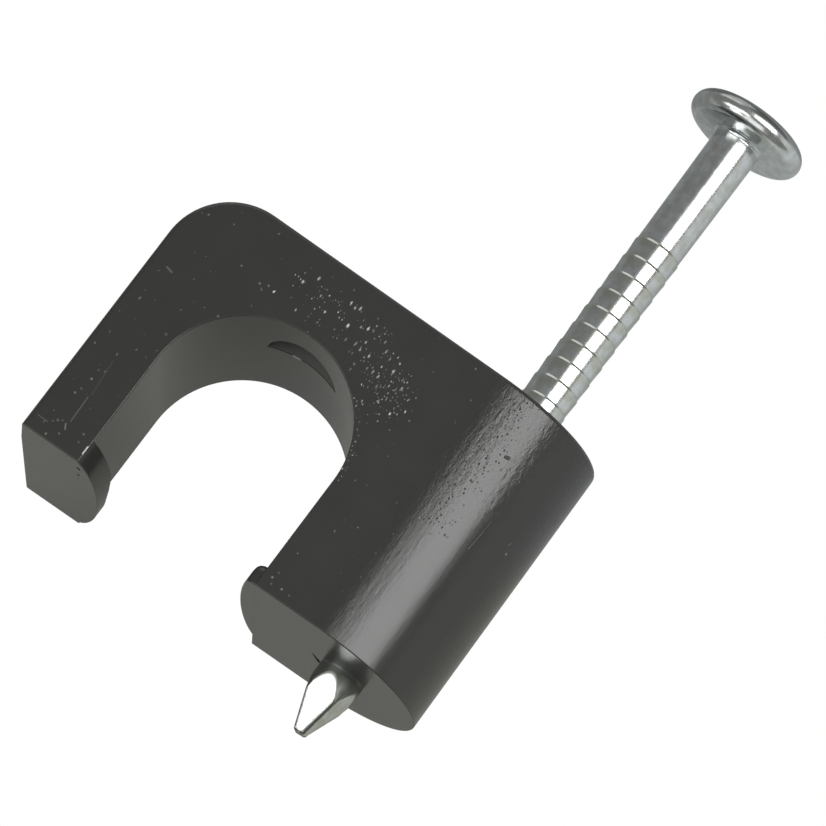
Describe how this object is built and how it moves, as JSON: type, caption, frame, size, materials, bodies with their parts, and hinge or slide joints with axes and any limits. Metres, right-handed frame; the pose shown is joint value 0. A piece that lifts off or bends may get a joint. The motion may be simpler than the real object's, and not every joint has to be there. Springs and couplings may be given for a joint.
{
  "type": "nail-in cable clip",
  "caption": "Moulded plastic hook that straddles a round cable, with retaining lips at its feet and a ring-shank nail through its rounded boss to fix it to a wall.",
  "frame": {"origin": "where the nail's axis meets the plane of the wall", "axes": "+Z along the nail from the wall to its head, Y along the cable, the channel on the -X side of the nail"},
  "size_m": [0.0191, 0.0082, 0.0318],
  "materials": {
    "black_plastic": "satin moulded",
    "zinc_plate": "bright zinc plate"
  },
  "bodies": {
    "root": {"clip_body": "black_plastic", "nail": "zinc_plate"}
  },
  "joints": []
}
